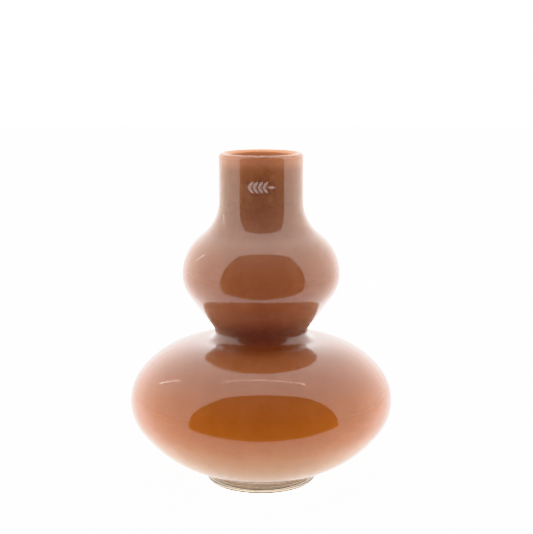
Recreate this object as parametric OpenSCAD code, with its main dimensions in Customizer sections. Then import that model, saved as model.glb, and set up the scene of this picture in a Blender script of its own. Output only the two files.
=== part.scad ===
// Double-gourd glass vase: a dense caramel inner layer cased in clear glass, on a short clear foot.
// The origin is on the vase's axis in the plane it stands on, +Z is up and the label faces -Y.
// Every bulb, sweep and groove is a run of circular arcs that meet without a corner. All the
// surfaces of the wall share the same arc centres, so each layer keeps an even thickness.

/* [Neck] */
// Height of the whole vase
total_h = 200; // [192:1:208]
// Outer diameter of the straight neck
neck_d = 50.5; // [47.5:0.5:53.5]

/* [Upper bulb] */
// Outer diameter of the upper bulb at its widest
upper_d = 94.5; // [92.5:0.5:98.5]
// Height of the upper bulb's widest point
upper_z = 127.5; // [124.5:0.5:130.5]
// Radius of the shoulder above the widest point
upper_shoulder_r = 29.5; // [26:0.5:33]
// Radius of the belly between the widest point and the straight flank below it
upper_belly_r = 21.5; // [18:0.5:25]

/* [Waist] */
// Height of the narrowest point, in the groove between the bulbs
waist_z = 92.8; // [91:0.1:94]
// Radius of the groove
groove_r = 5; // [3:0.5:7]

/* [Lower bulb] */
// Outer diameter of the lower bulb, the widest part of the vase
lower_d = 158; // [152:1:162]
// Height of the lower bulb's widest point
lower_z = 51; // [49:0.5:53]
// Radius of the shallow underside
lower_under_r = 72; // [68:1:78]

/* [Glass] */
// Thickness of the clear outer casing
casing_t = 2.8; // [2:0.1:3.5]
// Thickness of the coloured inner layer
colour_t = 1.7; // [1:0.1:2.5]
// Thickness of the casing where it closes under the colour
casing_floor_t = 3.5; // [3:0.5:5]
// Thickness of the coloured layer at the bottom of the hollow
colour_floor_t = 3; // [2:0.5:5]

/* [Foot] */
// Outer diameter of the clear foot
foot_d = 68; // [64:1:72]
// Height of the foot
foot_h = 7; // [6.5:0.5:8]
// Radius of the foot's lower edge
foot_edge_r = 5.5; // [4:0.5:6]
// Diameter of the ground recess under the foot
recess_d = 42; // [36:1:46]
// Depth of the recess at its centre
recess_depth = 1.5; // [1:0.1:2]

/* [Label] */
// Height of the label's centre
label_z = 182; // [180:0.5:184]
// Width of the clear film, measured straight across the neck
film_w = 21; // [19:0.5:24]
// Height of the clear film
film_h = 12; // [10:0.5:14]
// Corner radius of the film
film_corner_r = 2; // [1:0.5:4]
// Thickness of the adhesive
adhesive_t = 0.05; // [0.04:0.01:0.1]
// Thickness of the film
film_t = 0.1; // [0.08:0.01:0.2]
// Thickness of the white print
print_t = 0.05; // [0.04:0.01:0.1]
// Length of the printed sprig
sprig_l = 17; // [14:0.5:18]
// Number of leaf pairs on the sprig
leaf_pairs = 4; // [2:1:5]
// Length of one leaf
leaf_l = 4.6; // [3:0.2:5]
// Width of one leaf
leaf_w = 1.7; // [1:0.1:2]

/* [Hidden] */
$fn = 180;

neck_r = neck_d / 2;
upper_r = upper_d / 2;
lower_r = lower_d / 2;
foot_r = foot_d / 2;
recess_r = recess_d / 2;
wall_t = casing_t + colour_t;

// Points are [distance from the axis, height]. Arcs hand over to one another along the sides of a
// 3-4-5 triangle: a shallow direction, a steep one, and the shallow one pointing down.
shallow = [0.8, 0.6];
steep = [0.6, 0.8];
shallow_down = [0.8, -0.6];

// Upper bulb: shoulder and belly meet at the widest point, so both centres are at its height. The
// sweep bends the other way, and its radius follows from the step between neck and bulb.
upper_shoulder_c = [upper_r - upper_shoulder_r, upper_z];
upper_belly_c = [upper_r - upper_belly_r, upper_z];
sweep_reach = (upper_r - neck_r) / (1 - steep[0]);
sweep_r = sweep_reach - upper_shoulder_r;
sweep_c = upper_shoulder_c + sweep_reach * steep;

// Waist: the groove's circle touches the straight flank, which leans in 3 for every 4 down
flank_top = upper_belly_c + upper_belly_r * shallow_down;
flank_lean = steep[0] / steep[1];
groove_gap = groove_r / shallow[0];
groove_c = [flank_top[0] + groove_gap - flank_lean * (flank_top[1] - waist_z), waist_z];

// Lower bulb: the shoulder starts level under the groove's centre and hands over to the belly,
// and the two radii are those that reach the widest point
shoulder_w = lower_r - groove_c[0];
shoulder_h = waist_z - groove_r - lower_z;
share = shallow[0] + shallow[1] - 1;
lower_shoulder_r = (shallow[1] * shoulder_w - (1 - shallow[0]) * shoulder_h) / share;
lower_belly_r = (shallow[0] * shoulder_h - (1 - shallow[1]) * shoulder_w) / share;
lower_shoulder_c = [groove_c[0], waist_z - groove_r - lower_shoulder_r];
lower_belly_c = [lower_r - lower_belly_r, lower_z];
lower_under_c = lower_belly_c - (lower_under_r - lower_belly_r) * shallow_down;

// Part of the section between two heights whose edge bulges outwards
module bulging_slice(centre, r, low, high) {
  intersection() {
    translate([0, low]) square([centre[0] + r, high - low]);
    union() {
      translate(centre) circle(r);
      translate([0, centre[1] - r]) square([centre[0], 2 * r]);
    }
  }
}

// Part of the section between two heights whose edge is hollow
module hollow_slice(centre, r, low, high) {
  difference() {
    translate([0, low]) square([centre[0], high - low]);
    translate(centre) circle(r);
  }
}

// Half of the solid body's section, moved inwards by an inset, from a floor up to a top
module outline(inset, floor, top) {
  sweep_end = upper_shoulder_c + (upper_shoulder_r - inset) * steep;
  flank_start = upper_belly_c + (upper_belly_r - inset) * shallow_down;
  flank_end = groove_c - (groove_r + inset) * shallow_down;
  groove_end = groove_c[1] - groove_r - inset;
  belly_start = lower_belly_c + (lower_belly_r - inset) * shallow;
  belly_end = lower_belly_c + (lower_belly_r - inset) * shallow_down;

  translate([0, sweep_c[1]]) square([neck_r - inset, top - sweep_c[1]]);
  hollow_slice(sweep_c, sweep_r + inset, sweep_end[1], sweep_c[1]);
  bulging_slice(upper_shoulder_c, upper_shoulder_r - inset, upper_z, sweep_end[1]);
  bulging_slice(upper_belly_c, upper_belly_r - inset, flank_start[1], upper_z);
  polygon([[0, flank_end[1]], flank_end, flank_start, [0, flank_start[1]]]);
  hollow_slice(groove_c, groove_r + inset, groove_end, flank_end[1]);
  bulging_slice(lower_shoulder_c, lower_shoulder_r - inset, belly_start[1], groove_end);
  bulging_slice(lower_belly_c, lower_belly_r - inset, belly_end[1], belly_start[1]);
  bulging_slice(lower_under_c, lower_under_r - inset, floor, belly_end[1]);
}

// Section of the whole wall, both layers, with its fire-polished round lip
module wall_section() {
  lip_r = wall_t / 2;
  difference() {
    union() {
      outline(0, foot_h, total_h - lip_r);
      translate([neck_r - lip_r, total_h - lip_r]) circle(lip_r);
    }
    outline(wall_t, foot_h + casing_floor_t + colour_floor_t, total_h + 1);
  }
}

// Everything inside the surface where the colour meets the casing
module colour_side() {
  outline(casing_t, foot_h + casing_floor_t, total_h + 1);
}

module clear_casing() {
  color([0.93, 0.90, 0.87, 0.45])
    rotate_extrude()
      difference() {
        wall_section();
        colour_side();
      }
}

module colour_layer() {
  color([0.62, 0.33, 0.16])
    rotate_extrude()
      intersection() {
        wall_section();
        colour_side();
      }
}

// Thick clear disc with a round side and a shallow ground recess, so it stands on a ring
module clear_foot() {
  top_edge_r = foot_h - foot_edge_r;
  recess_ball_r = (pow(recess_r, 2) + pow(recess_depth, 2)) / (2 * recess_depth);
  color([0.86, 0.78, 0.68, 0.6])
    rotate_extrude()
      difference() {
        union() {
          bulging_slice([foot_r - foot_edge_r, foot_edge_r], foot_edge_r, 0, foot_edge_r);
          bulging_slice([foot_r - top_edge_r, foot_edge_r], top_edge_r, foot_edge_r, foot_h);
        }
        translate([0, recess_depth - recess_ball_r]) circle(recess_ball_r);
      }
}

// A flat shape, drawn as seen from the front, wrapped round the neck as a thin skin
module wrapped(inner_r, thickness) {
  intersection() {
    difference() {
      cylinder(r = inner_r + thickness, h = total_h);
      translate([0, 0, -1]) cylinder(r = inner_r, h = total_h + 2);
    }
    translate([0, 0, label_z]) rotate([90, 0, 0]) linear_extrude(neck_d) children();
  }
}

// Rectangle with round corners, centred on the label
module film_shape() {
  inner_w = film_w - 2 * film_corner_r;
  inner_h = film_h - 2 * film_corner_r;
  square([film_w, inner_h], center = true);
  square([inner_w, film_h], center = true);
  for (x = [-1, 1], y = [-1, 1])
    translate([x * inner_w / 2, y * inner_h / 2]) circle(film_corner_r);
}

// Pointed leaf that starts at the origin and lies along +X
module leaf() {
  bow_r = (pow(leaf_l / 2, 2) + pow(leaf_w / 2, 2)) / leaf_w;
  intersection() {
    translate([leaf_l / 2, bow_r - leaf_w / 2]) circle(bow_r);
    translate([leaf_l / 2, leaf_w / 2 - bow_r]) circle(bow_r);
  }
}

// Generic leafy sprig: a straight stem, leaves in pairs and one leaf at the tip
module sprig_shape() {
  stem_t = 0.4;
  leaf_angle = 48;
  overlap = 0.3;
  stem_l = sprig_l - leaf_l + overlap;
  pitch = stem_l / (leaf_pairs + 0.5);
  translate([-sprig_l / 2, 0]) {
    translate([0, -stem_t / 2]) square([stem_l, stem_t]);
    translate([stem_l - overlap, 0]) leaf();
    for (i = [0 : leaf_pairs - 1], side = [-1, 1])
      translate([(i + 0.4) * pitch, 0]) rotate(side * leaf_angle) leaf();
  }
}

module label_adhesive() {
  color([0.95, 0.93, 0.88, 0.5]) wrapped(neck_r, adhesive_t) film_shape();
}

module label_film() {
  color([0.97, 0.97, 0.97, 0.5]) wrapped(neck_r + adhesive_t, film_t) film_shape();
}

module label_print() {
  color("white") wrapped(neck_r + adhesive_t + film_t, print_t) sprig_shape();
}

clear_casing();
colour_layer();
clear_foot();
label_adhesive();
label_film();
label_print();
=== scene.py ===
"""Looks of the double-gourd glass vase: a caramel glass layer cased in clear glass, on a clear foot.

The three glass bodies are turned again from the CAD's own arcs, finely enough for clean reflections.
Lengths are in metres, +Z is up, the label faces -Y and the origin is under the middle of the foot.
"""

import math

import bpy
import numpy as np
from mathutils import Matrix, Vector


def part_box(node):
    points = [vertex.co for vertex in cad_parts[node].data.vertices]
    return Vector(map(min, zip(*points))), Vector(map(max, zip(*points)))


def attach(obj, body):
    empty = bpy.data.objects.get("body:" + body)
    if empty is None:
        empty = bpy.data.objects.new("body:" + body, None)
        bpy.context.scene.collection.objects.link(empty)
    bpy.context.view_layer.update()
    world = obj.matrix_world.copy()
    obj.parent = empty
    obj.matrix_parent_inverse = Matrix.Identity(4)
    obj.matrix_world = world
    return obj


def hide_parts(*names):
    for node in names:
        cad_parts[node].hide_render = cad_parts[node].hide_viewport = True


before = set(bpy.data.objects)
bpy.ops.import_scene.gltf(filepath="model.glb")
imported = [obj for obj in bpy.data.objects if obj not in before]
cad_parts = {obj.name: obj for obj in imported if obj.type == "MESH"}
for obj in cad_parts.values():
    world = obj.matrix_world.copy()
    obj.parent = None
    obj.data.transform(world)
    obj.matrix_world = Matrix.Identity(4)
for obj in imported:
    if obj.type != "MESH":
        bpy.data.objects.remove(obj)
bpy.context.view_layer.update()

MM = 0.001
TINY = 1e-9

# Driving sizes of the turned section, the same as the CAD's
_, casing_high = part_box("clear_casing")
_, foot_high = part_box("clear_foot")
TOTAL_H = casing_high.z
FOOT_H = foot_high.z
LOWER_R = round(casing_high.x, 4)
FOOT_R = round(foot_high.x, 4)
NECK_R = 25.25 * MM
UPPER_R = 47.25 * MM
UPPER_Z = 127.5 * MM
UPPER_SHOULDER_R = 29.5 * MM
UPPER_BELLY_R = 21.5 * MM
SWEEP_R = 25.5 * MM
SWEEP_Z = 171.5 * MM
WAIST_Z = 92.8 * MM
GROOVE_R = 5 * MM
LOWER_Z = 51 * MM
LOWER_SHOULDER_R = 50.825 * MM
LOWER_BELLY_R = 27.45 * MM
LOWER_UNDER_R = 72 * MM
CASING_T = 2.8 * MM
WALL_T = 4.5 * MM
CASING_FLOOR_Z = FOOT_H + 3.5 * MM
HOLLOW_FLOOR_Z = CASING_FLOOR_Z + 3 * MM
FOOT_EDGE_R = 5.5 * MM
RECESS_R = 21 * MM
RECESS_DEPTH = 1.5 * MM

# Neighbouring arcs of the outline meet in the directions of a 3-4-5 triangle
STEEP = math.degrees(math.atan2(4, 3))
SHALLOW = 90 - STEEP

# The lip is half a circle over the wall. Casing and colour meet in one direction from its centre.
LIP_R = WALL_T / 2
LIP_C = (NECK_R - LIP_R, TOTAL_H - LIP_R)
LIP_MEET = math.degrees(math.acos((LIP_R - CASING_T) / LIP_R))

# The casing's inner face lies this far inside the colour, so that no gap of air shows between them
OVERLAP = 0.05 * MM

# Fineness of the turned meshes: a line is drawn and blurred in fine steps, and then thinned to about
# one point for each turn step, in radians, but with its points no closer than the finest distance
# and no further apart than the coarsest
SEGMENTS = 192
FINE_STEP = 0.1 * MM
BLUR = 1.5 * MM
TURN_STEP = 0.07
FINEST = 0.35 * MM
COARSEST = 1.2 * MM
INNER_COARSEST = 1.8 * MM
LIP_FINEST = 0.15 * MM
LIP_COARSEST = 0.2 * MM
CREASE = math.radians(12)


# ---- Sections ----

def arc(centre, radius, start, end):
    """Close points on an arc of the section, between two directions in degrees."""
    count = max(3, int(abs(math.radians(end - start)) * radius / FINE_STEP))
    turn = np.radians(np.linspace(start, end, count))
    return np.column_stack((centre[0] + radius * np.cos(turn), centre[1] + radius * np.sin(turn)))


def at(centre, radius, direction):
    """Point at a direction, in degrees, from an arc's centre."""
    return arc(centre, radius, direction, direction)[0]


def evenly(points, step):
    """The same line with points a fixed step apart."""
    run = np.r_[0, np.cumsum(np.hypot(*np.diff(points, axis=0).T))]
    places = np.linspace(0, run[-1], max(2, int(run[-1] / step)))
    return np.column_stack([np.interp(places, run, points[:, k]) for k in (0, 1)])


def eased(points):
    """Blurs the line a little along its length, so that its bend changes without a jump."""
    reach = int(4 * BLUR / FINE_STEP)
    weight = np.exp(-0.5 * (np.arange(-reach, reach + 1) * FINE_STEP / BLUR) ** 2)
    weight /= weight.sum()
    before = 2 * points[0] - points[reach:0:-1]
    after = 2 * points[-1] - points[-2:-reach - 2:-1]
    long = np.vstack((before, points, after))
    return np.column_stack([np.convolve(long[:, k], weight, "valid") for k in (0, 1)])


def thinned(points, finest, coarsest):
    """Fewer points: close together where the line bends tightly, further apart where it is flat."""
    ahead = np.gradient(points, axis=0)
    heading = np.unwrap(np.arctan2(ahead[:, 1], ahead[:, 0]))
    length = np.hypot(*ahead.T)
    bend = np.abs(np.gradient(heading)) / length
    step = np.clip(TURN_STEP / np.maximum(bend, TINY), finest, coarsest)
    count = np.r_[0, np.cumsum((length / step)[1:])]
    places = np.linspace(0, count[-1], int(count[-1]) + 2)
    return np.column_stack([np.interp(places, count, points[:, k]) for k in (0, 1)])


def wall(inset, floor, coarsest=COARSEST):
    """The wall's line at a depth under its outer face, from a floor up to the end of the neck."""
    shoulder_c = (UPPER_R - UPPER_SHOULDER_R, UPPER_Z)
    belly_c = (UPPER_R - UPPER_BELLY_R, UPPER_Z)
    sweep_c = (NECK_R + SWEEP_R, SWEEP_Z)
    lower_belly_c = (LOWER_R - LOWER_BELLY_R, LOWER_Z)
    lower_shoulder_c = at(lower_belly_c, LOWER_BELLY_R - LOWER_SHOULDER_R, SHALLOW)
    under_c = at(lower_belly_c, LOWER_BELLY_R - LOWER_UNDER_R, -SHALLOW)
    groove_c = (lower_shoulder_c[0], WAIST_Z)
    under_r = LOWER_UNDER_R - inset
    start = math.degrees(math.asin((floor - under_c[1]) / under_r))
    line = np.vstack((
        arc(under_c, under_r, start, -SHALLOW),
        arc(lower_belly_c, LOWER_BELLY_R - inset, -SHALLOW, SHALLOW),
        arc(lower_shoulder_c, LOWER_SHOULDER_R - inset, SHALLOW, 90),
        arc(groove_c, GROOVE_R + inset, 270, 180 - SHALLOW),
        arc(belly_c, UPPER_BELLY_R - inset, -SHALLOW, 0),
        arc(shoulder_c, UPPER_SHOULDER_R - inset, 0, STEEP),
        arc(sweep_c, SWEEP_R + inset, 180 + STEEP, 180),
        [(NECK_R - inset, LIP_C[1])],
    ))
    return thinned(eased(evenly(line, FINE_STEP)), FINEST, coarsest)


def lip(start, end):
    """Part of the round lip between two directions from its centre."""
    return thinned(arc(LIP_C, LIP_R, start, end), LIP_FINEST, LIP_COARSEST)


def flat(start, end, step=2 * MM):
    """Straight run of the section between two points."""
    return evenly(np.array([start, end]), step)


# ---- Meshes ----

def chained(runs):
    """One line through all the runs, the finish of each of its steps, and which points are sharp."""
    points, finish, sharp = [tuple(runs[0][0][0])], [], set()
    for k, (line, index) in enumerate(runs):
        if k:
            came, goes = np.subtract(points[-1], points[-2]), line[1] - line[0]
            turn = abs(math.atan2(came[0] * goes[1] - came[1] * goes[0], came @ goes))
            if turn > CREASE:
                sharp.add(len(points) - 1)
        points += [tuple(p) for p in line[1:]]
        finish += [index] * (len(line) - 1)
    return points, finish, sharp


def turned(points):
    """Vertices of the line turned round the axis, and for each point the ring that they make. A point
    on the axis is a single vertex, which its ring repeats."""
    turns = np.arange(SEGMENTS) * 2 * math.pi / SEGMENTS
    verts, rings = [], []
    for r, z in points:
        start = len(verts)
        if r < TINY:
            verts.append((0, 0, z))
            rings.append([start] * SEGMENTS)
        else:
            verts += [(r * math.cos(t), r * math.sin(t), z) for t in turns]
            rings.append(list(range(start, start + SEGMENTS)))
    return verts, rings


def sides(ring):
    """Pairs of neighbours round a ring."""
    return list(zip(ring, ring[1:] + ring[:1]))


def lathe(name, runs, finishes):
    """Turns a closed section round the axis. A run is (points, index of its finish); runs share their
    end points, and two that meet at an angle get a sharp edge."""
    points, finish, sharp = chained(runs)
    verts, rings = turned(points)
    faces, slots = [], []
    for low, high, index in zip(rings, rings[1:], finish):
        for (a, b), (d, c) in zip(sides(low), sides(high)):
            faces.append(list(dict.fromkeys((a, b, c, d))))
            slots.append(index)
    mesh = bpy.data.meshes.new(name)
    mesh.from_pydata(verts, [], faces)
    mesh.polygons.foreach_set("material_index", slots)
    mesh.shade_smooth()
    crease = {frozenset(pair) for i in sharp for pair in sides(rings[i])}
    for edge in mesh.edges:
        edge.use_edge_sharp = frozenset(edge.vertices) in crease
    for made in finishes:
        mesh.materials.append(made)
    mesh.validate()
    piece = bpy.data.objects.new(name, mesh)
    bpy.context.scene.collection.objects.link(piece)
    return piece


# ---- Shader nodes ----

def new_material(name):
    """A material with its node tree and its Principled shader."""
    made = bpy.data.materials.new(name)
    made.use_nodes = True
    return made, made.node_tree, made.node_tree.nodes["Principled BSDF"]


def node(tree, kind, **values):
    """Adds a shader node. A value goes to the input of that name, or else to the setting."""
    made = tree.nodes.new(kind)
    for key, value in values.items():
        if key in made.inputs:
            made.inputs[key].default_value = value
        else:
            setattr(made, key, value)
    return made


def place(tree):
    """Each point's place on the object, in metres."""
    return node(tree, "ShaderNodeTexCoord").outputs["Object"]


def noise(tree, size, stretch=(1, 1, 1), detail=2.0):
    """Soft noise whose patches are about as wide as size."""
    scaled = node(tree, "ShaderNodeMapping", Scale=[s / size for s in stretch])
    tree.links.new(place(tree), scaled.inputs["Vector"])
    made = node(tree, "ShaderNodeTexNoise", Scale=1.0, Detail=detail, Roughness=0.5)
    tree.links.new(scaled.outputs["Vector"], made.inputs["Vector"])
    return made.outputs["Fac"]


def spread(tree, factor, low, high):
    """Maps a factor from 0..1 to low..high."""
    made = node(tree, "ShaderNodeMapRange")
    made.inputs["To Min"].default_value = low
    made.inputs["To Max"].default_value = high
    tree.links.new(factor, made.inputs["Value"])
    return made.outputs["Result"]


def mixed(tree, factor, first, second):
    """Colour between two colours or sockets."""
    made = node(tree, "ShaderNodeMix", data_type="RGBA")
    tree.links.new(factor, made.inputs["Factor"])
    for socket, value in ((made.inputs[6], first), (made.inputs[7], second)):
        if isinstance(value, bpy.types.NodeSocket):
            tree.links.new(value, socket)
        else:
            socket.default_value = value
    return made.outputs[2]


def varied(tree, factor, colour, saturation, value):
    """The colour, drifting to a deeper shade of itself where the factor is high."""
    deeper = node(tree, "ShaderNodeHueSaturation", Saturation=saturation, Value=value)
    tree.links.new(colour, deeper.inputs["Color"])
    return mixed(tree, factor, colour, deeper.outputs["Color"])


def by_height(tree, top, stops):
    """Colour that changes with height. A stop's height is a share of the top height."""
    apart = node(tree, "ShaderNodeSeparateXYZ")
    tree.links.new(place(tree), apart.inputs["Vector"])
    height = node(tree, "ShaderNodeMapRange")
    height.inputs["From Max"].default_value = top
    tree.links.new(apart.outputs["Z"], height.inputs["Value"])
    ramp = node(tree, "ShaderNodeValToRGB")
    ramp.color_ramp.interpolation = "EASE"
    while len(ramp.color_ramp.elements) < len(stops):
        ramp.color_ramp.elements.new(1.0)
    for element, (where, colour) in zip(ramp.color_ramp.elements, stops):
        element.position = where
        element.color = colour
    tree.links.new(height.outputs["Result"], ramp.inputs["Fac"])
    return ramp.outputs["Color"]


def bumped(tree, shader, factor, distance):
    """Gives the shader a bump of that height."""
    made = node(tree, "ShaderNodeBump", Strength=1.0, Distance=distance)
    tree.links.new(factor, made.inputs["Height"])
    tree.links.new(made.outputs["Normal"], shader.inputs["Normal"])


# ---- Materials ----

GLASS_IOR = 1.5

CASING_TINTS = ((0.99, 0.985, 0.975, 1), (1, 0.995, 0.985, 1))

# The foot's tint up its height: straw towards its lower edge, clear at its top
# The straw is a painted reflection of the caramel underside, which the real clear foot shows inside its
# lower edge.
FOOT_PAINTED_REFLECTION_STOPS = (
    (0.62, (0.55, 0.46, 0.34, 1)),
    (0.86, (0.98, 0.96, 0.94, 1)),
)

# The caramel glass up the vase's height. The real glass lets some light through and this finish
# doesn't, so the colours stand for that light as well. They were matched to the real vase's look in
# this studio by comparing renders, and then rounded, so they suit this light best.
# Painted light: this pale stop at the floor of the caramel layer paints the light that the glowing
# table throws onto its underside.
PAINTED_UNDERSIDE_LIGHT_STOP = (0.062, (0.85, 0.72, 0.62, 1))
# Partly the glass's own amber and partly painted light: a painted glow of light passing through the
# real glass. It is orange in the lower bulb and brightest at the lip, and browner in the waist and the
# neck. The pale low stops are painted light where the glowing table lights the underside.
AMBER_AND_PAINTED_GLOW_STOPS = (
    (0.090, (0.62, 0.38, 0.18, 1)),
    (0.250, (0.63, 0.24, 0.08, 1)),
    (0.420, (0.52, 0.24, 0.13, 1)),
    (0.470, (0.44, 0.26, 0.18, 1)),
    (0.540, (0.57, 0.29, 0.17, 1)),
    (0.640, (0.53, 0.25, 0.13, 1)),
    (0.760, (0.52, 0.29, 0.18, 1)),
    (0.900, (0.46, 0.25, 0.14, 1)),
    (0.950, (0.47, 0.24, 0.13, 1)),
    (0.985, (0.64, 0.32, 0.17, 1)),
    (1.000, (0.85, 0.43, 0.20, 1)),
)

# The label from the neck outwards: node, material, its two colours, opacity and range of roughness.
# The adhesive and the film are so clear that they can't be seen.
LABEL_LAYERS = (
    ("label_adhesive", "adhesive_clear", (0.9, 0.88, 0.84, 1), (0.8, 0.78, 0.74, 1), 0.002, (0.3, 0.4)),
    ("label_film", "film_clear", (0.60, 0.55, 0.52, 1), (0.55, 0.50, 0.47, 1), 0.003, (0.05, 0.12)),
    ("label_print", "print_grey", (0.45, 0.325, 0.225, 1), (0.41, 0.295, 0.205, 1), 0.92, (0.45, 0.6)),
)


def polished_glass(name, waviness):
    """Clear glass with a slow hand-blown waviness. Its colour is linked afterwards."""
    made, tree, shader = new_material(name)
    shader.inputs["Transmission Weight"].default_value = 1.0
    shader.inputs["IOR"].default_value = GLASS_IOR
    tree.links.new(spread(tree, noise(tree, 30 * MM), 0.0, 0.02), shader.inputs["Roughness"])
    bumped(tree, shader, noise(tree, 35 * MM, detail=1.0), waviness)
    return made, tree, shader


def casing_clear(name):
    """The casing's glass: colourless, with a faint change of tint."""
    made, tree, shader = polished_glass(name, 0.03 * MM)
    tree.links.new(mixed(tree, noise(tree, 20 * MM), *CASING_TINTS), shader.inputs["Base Color"])
    return made


def foot_with_painted_reflection(name):
    """The foot's clear glass with a painted reflection: straw towards its lower edge, where the real
    foot reflects the caramel underside.
    """
    made, tree, shader = polished_glass(name, 0.02 * MM)
    # Painted reflection of the caramel underside, as straw low down on the foot.
    straw = by_height(tree, FOOT_H, FOOT_PAINTED_REFLECTION_STOPS)
    colour = varied(tree, noise(tree, 10 * MM), straw, 1.1, 0.94)
    tree.links.new(colour, shader.inputs["Base Color"])
    return made


def caramel_glass(name, gloss, stops):
    """Dense caramel glass, as an opaque finish with fine upright streaks. The casing in front of it
    gives the gloss, so only a bare face has a gloss of its own."""
    made, tree, shader = new_material(name)
    streaks = noise(tree, 12 * MM, stretch=(1, 1, 0.25), detail=3.0)
    # The colour up the height comes from the stops, which hold painted light: the glow of light passing
    # through the glass, and the table's light on the underside.
    colour = varied(tree, streaks, by_height(tree, TOTAL_H, stops), 1.05, 0.86)
    tree.links.new(colour, shader.inputs["Base Color"])
    tree.links.new(spread(tree, noise(tree, 20 * MM), 0.03, 0.08), shader.inputs["Roughness"])
    shader.inputs["IOR"].default_value = GLASS_IOR
    shader.inputs["Specular IOR Level"].default_value = gloss
    bumped(tree, shader, noise(tree, 30 * MM, detail=1.0), 0.02 * MM)
    return made


def unseen_join(name):
    """Where casing and foot are fused there is no surface, so light passes straight through."""
    made, _, shader = new_material(name)
    shader.inputs["Alpha"].default_value = 0.0
    return made


def sticker(name, colour, other, alpha, roughness):
    """One layer of the label."""
    made, tree, shader = new_material(name)
    tree.links.new(mixed(tree, noise(tree, 1.5 * MM), colour, other), shader.inputs["Base Color"])
    tree.links.new(spread(tree, noise(tree, 2 * MM), *roughness), shader.inputs["Roughness"])
    shader.inputs["Alpha"].default_value = alpha
    bumped(tree, shader, noise(tree, 1 * MM), 0.004 * MM)
    return made


# ---- The vase ----

def build_casing(glass, join):
    """Outer clear layer, from the fused disc under it up to its part of the lip."""
    floor = CASING_FLOOR_Z + OVERLAP
    outer = wall(0, FOOT_H)
    crest = lip(0, LIP_MEET)
    inner = wall(CASING_T + OVERLAP, floor, INNER_COARSEST)[::-1]
    runs = [
        (flat((0, FOOT_H), outer[0]), 1),
        (outer, 0),
        (crest, 0),
        (np.vstack((crest[-1], inner)), 0),
        (flat(inner[-1], (0, floor)), 0),
    ]
    piece = lathe("casing_glass", runs, [glass, join])
    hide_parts("clear_casing")
    return piece


def build_colour(under_glass, bare):
    """Caramel layer: its outer face is seen through the casing, its lip and inside are bare."""
    outer = wall(CASING_T, CASING_FLOOR_Z)
    crest = lip(LIP_MEET, 180)
    inner = wall(WALL_T, HOLLOW_FLOOR_Z)[::-1]
    runs = [
        (flat((0, CASING_FLOOR_Z), outer[0]), 0),
        (np.vstack((outer, crest[0])), 0),
        (crest, 1),
        (inner, 1),
        (flat(inner[-1], (0, HOLLOW_FLOOR_Z)), 1),
    ]
    piece = lathe("colour_glass", runs, [under_glass, bare])
    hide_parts("colour_layer")
    return piece


def build_foot(glass, join):
    """Thick clear disc with a round side and a shallow hollow ground into its underside."""
    base_r = FOOT_R - FOOT_EDGE_R
    top_edge_r = FOOT_H - FOOT_EDGE_R
    top_r = FOOT_R - top_edge_r
    ball_r = (RECESS_R ** 2 + RECESS_DEPTH ** 2) / (2 * RECESS_DEPTH)
    rim = math.degrees(math.asin(RECESS_R / ball_r))
    join_r = wall(0, FOOT_H)[0][0]
    runs = [
        (thinned(arc((0, RECESS_DEPTH - ball_r), ball_r, 90, 90 - rim), MM, MM), 0),
        (flat((RECESS_R, 0), (base_r, 0)), 0),
        (thinned(arc((base_r, FOOT_EDGE_R), FOOT_EDGE_R, -90, 0), 0.3 * MM, MM), 0),
        (thinned(arc((top_r, FOOT_EDGE_R), top_edge_r, 0, 90), 0.15 * MM, MM), 0),
        (flat((top_r, FOOT_H), (join_r, FOOT_H)), 0),
        (flat((join_r, FOOT_H), (0, FOOT_H)), 1),
    ]
    piece = lathe("foot_glass", runs, [glass, join])
    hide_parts("clear_foot")
    return piece


def dress(name, finish):
    """Gives a CAD node its material."""
    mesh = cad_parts[name].data
    mesh.materials.clear()
    mesh.materials.append(finish)


def build_vase():
    """All the pieces of the vase, riding on its one body, and the label's finishes."""
    join = unseen_join("fused_join")
    # Both caramel finishes carry the painted glow up the height. The cased one also carries the painted
    # light on its underside.
    cased = caramel_glass("caramel_cased", 0.0, (PAINTED_UNDERSIDE_LIGHT_STOP,) + AMBER_AND_PAINTED_GLOW_STOPS)
    bare = caramel_glass("caramel_bare", 0.5, AMBER_AND_PAINTED_GLOW_STOPS)
    made = [
        build_casing(casing_clear("casing_clear"), join),
        build_colour(cased, bare),
        build_foot(foot_with_painted_reflection("foot_with_painted_reflection"), join),
    ]
    for piece in made:
        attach(piece, "root")
    for name, finish, *looks in LABEL_LAYERS:
        dress(name, sticker(finish, *looks))


# ---- The studio ----

# Light from the white walls and roof, and how bright the camera sees them
WALL_LIGHT = 2.5
BACKDROP = 30.0

# The table's glow near the vase and far from it, how far out it fades, and how the camera sees it
TABLE_GLOW = (0.9, 0.33)
TABLE_GLOW_REACH = (0.1, 0.7)
TABLE_SEEN = 8.0
TABLE_HALF = 3.0
TABLE_Z = -0.1 * MM
TABLE_WHITES = ((0.86, 0.86, 0.86, 1), (0.88, 0.88, 0.88, 1))

# The light box's open front: a sill on the table, a knee where its sides flare, and its top. The
# corners were fitted to the shapes that the real vase reflects. Only scattered light finds the fill.
OPENING_SILL = [(-0.205, -0.147, 0.0), (0.258, -0.147, 0.0)]
OPENING_KNEE = [(-0.488, -0.309, 0.167), (0.588, -0.296, 0.131)]
OPENING_TOP = [(-0.644, -0.564, 1.352), (0.856, -0.521, 1.330)]
FRONT_FILL = 1.1
FRONT_COLOUR = (0.60, 0.50, 0.80, 1)

# Thin lamps: start, end, width and strength. The left one stands a little behind the vase.
ROOF_LAMP = ((-0.128, -0.044, 0.356), (0.154, -0.056, 0.346), 2.2 * MM, 15)
LEFT_LAMP = ((-0.27, 0.10, 0.20), (-0.235, 0.05, 0.27), 2.5 * MM, 16)

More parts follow.
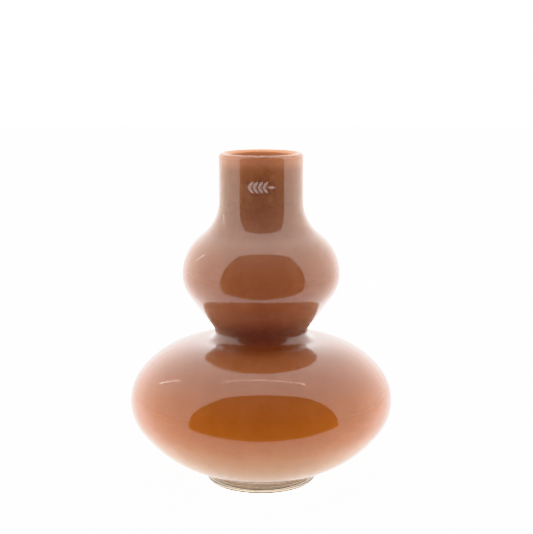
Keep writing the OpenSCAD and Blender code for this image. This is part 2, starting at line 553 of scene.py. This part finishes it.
# Roof baffle, from its front edge back to the vase's axis
BAFFLE_HALF_W = 0.15
BAFFLE_FRONT_Y = -0.048
BAFFLE_Z = 0.25

# The camera looks down by this many degrees, through a lens in millimetres
CAMERA_AT = (0.0032, -0.841, 0.2768)
CAMERA_DOWN = 9.81
CAMERA_LENS = 96.46


def only_seen_by(thing, *kinds):
    """Hides a studio object from every kind of ray but those named."""
    for kind in ("camera", "diffuse", "glossy", "transmission", "volume_scatter", "shadow"):
        setattr(thing, "visible_" + kind, kind in kinds)


def glowing(name, strength):
    """A plain light-giving material. Its light is found only by rays that happen to hit it."""
    made = bpy.data.materials.new(name)
    made.use_nodes = True
    made.cycles.emission_sampling = "NONE"
    tree = made.node_tree
    tree.nodes.clear()
    glow = node(tree, "ShaderNodeEmission", Strength=strength)
    out = node(tree, "ShaderNodeOutputMaterial")
    tree.links.new(glow.outputs["Emission"], out.inputs["Surface"])
    return made, tree, glow


def surface(name, corners, faces, finish):
    """Studio surface, which isn't part of the vase."""
    mesh = bpy.data.meshes.new(name)
    mesh.from_pydata(corners, [], faces)
    mesh.materials.append(finish)
    made = bpy.data.objects.new(name, mesh)
    bpy.context.scene.collection.objects.link(made)
    return made


def build_world():
    """Evenly white walls and roof all round, which the camera sees as plain white."""
    world = bpy.data.worlds.new("light_box")
    bpy.context.scene.world = world
    world.use_nodes = True
    tree = world.node_tree
    back = tree.nodes["Background"]
    back.inputs["Color"].default_value = (1, 1, 1, 1)
    seen = node(tree, "ShaderNodeLightPath").outputs["Is Camera Ray"]
    tree.links.new(spread(tree, seen, WALL_LIGHT, BACKDROP), back.inputs["Strength"])


def build_opening():
    """The open, unlit front of the light box, which reflections show as a dark window. Light that has
    been scattered by the glass finds a weak glow there instead, from the room."""
    finish, tree, glow = glowing("room_beyond", 0.0)
    glow.inputs["Color"].default_value = FRONT_COLOUR
    path = node(tree, "ShaderNodeLightPath")
    scattered = node(tree, "ShaderNodeMath", operation="GREATER_THAN")
    scattered.inputs[1].default_value = 0.5
    tree.links.new(path.outputs["Diffuse Depth"], scattered.inputs[0])
    tree.links.new(spread(tree, scattered.outputs["Value"], 0.0, FRONT_FILL), glow.inputs["Strength"])
    corners = OPENING_SILL + OPENING_KNEE + OPENING_TOP
    card = surface("front_opening", corners, [(0, 1, 3, 2), (2, 3, 5, 4)], finish)
    only_seen_by(card, "diffuse", "glossy", "transmission")


def build_strip(name, start, end, width, strength):
    """Thin straight lamp that faces the vase, seen only as a bright line in the reflections."""
    start, end = Vector(start), Vector(end)
    middle = Vector((0, 0, TOTAL_H / 2))
    across = (end - start).cross(middle - start).normalized() * width / 2
    finish, _, _ = glowing(name, strength)
    corners = [start - across, start + across, end + across, end - across]
    only_seen_by(surface(name, corners, [(0, 1, 2, 3)], finish), "glossy")


def build_baffle():
    """Strip of the white roof that hangs lower and hides the lamp from the upper bulb and the neck."""
    finish, _, _ = glowing("roof_white", WALL_LIGHT)
    left, right, front, z = -BAFFLE_HALF_W, BAFFLE_HALF_W, BAFFLE_FRONT_Y, BAFFLE_Z
    corners = [(left, front, z), (right, front, z), (right, 0, z), (left, 0, z)]
    only_seen_by(surface("roof_baffle", corners, [(0, 1, 2, 3)], finish), "glossy")


def table_glow(tree):
    """Strength of the table's glow, which fades away from the vase, and which the camera sees as
    plain white all over."""
    away = node(tree, "ShaderNodeVectorMath", operation="LENGTH")
    tree.links.new(place(tree), away.inputs[0])
    faded = node(tree, "ShaderNodeMapRange", interpolation_type="SMOOTHSTEP")
    for name, value in zip(("From Min", "From Max", "To Min", "To Max"), TABLE_GLOW_REACH + TABLE_GLOW):
        faded.inputs[name].default_value = value
    tree.links.new(away.outputs["Value"], faded.inputs["Value"])
    seen = node(tree, "ShaderNodeMix", data_type="FLOAT", B=TABLE_SEEN)
    tree.links.new(node(tree, "ShaderNodeLightPath").outputs["Is Camera Ray"], seen.inputs["Factor"])
    tree.links.new(faded.outputs["Result"], seen.inputs["A"])
    return seen.outputs["Result"]


def build_floor():
    """Plain white table."""
    finish, tree, shader = new_material("white_table")
    tree.links.new(mixed(tree, noise(tree, 0.2), *TABLE_WHITES), shader.inputs["Base Color"])
    shader.inputs["Roughness"].default_value = 0.9
    shader.inputs["Specular IOR Level"].default_value = 0.0
    shader.inputs["Emission Color"].default_value = (1, 1, 1, 1)
    tree.links.new(table_glow(tree), shader.inputs["Emission Strength"])
    signs = ((-1, -1), (1, -1), (1, 1), (-1, 1))
    corners = [(x * TABLE_HALF, y * TABLE_HALF, TABLE_Z) for x, y in signs]
    surface("table", corners, [(0, 1, 2, 3)], finish)


def build_camera():
    """The view: in front, a little above the rim and looking down."""
    lens = bpy.data.cameras.new("view")
    lens.sensor_fit = "HORIZONTAL"
    lens.sensor_width = 36
    lens.lens = CAMERA_LENS
    lens.clip_start = 0.01
    camera = bpy.data.objects.new("view", lens)
    camera.location = CAMERA_AT
    camera.rotation_euler = (math.radians(90 - CAMERA_DOWN), 0, 0)
    bpy.context.scene.collection.objects.link(camera)
    bpy.context.scene.camera = camera


def build_studio():
    """Camera, floor and light."""
    build_camera()
    build_world()
    build_floor()
    build_opening()
    build_baffle()
    build_strip("roof_lamp", *ROOF_LAMP)
    build_strip("left_lamp", *LEFT_LAMP)
    bpy.context.scene.view_settings.view_transform = "Khronos PBR Neutral"


build_vase()
build_studio()
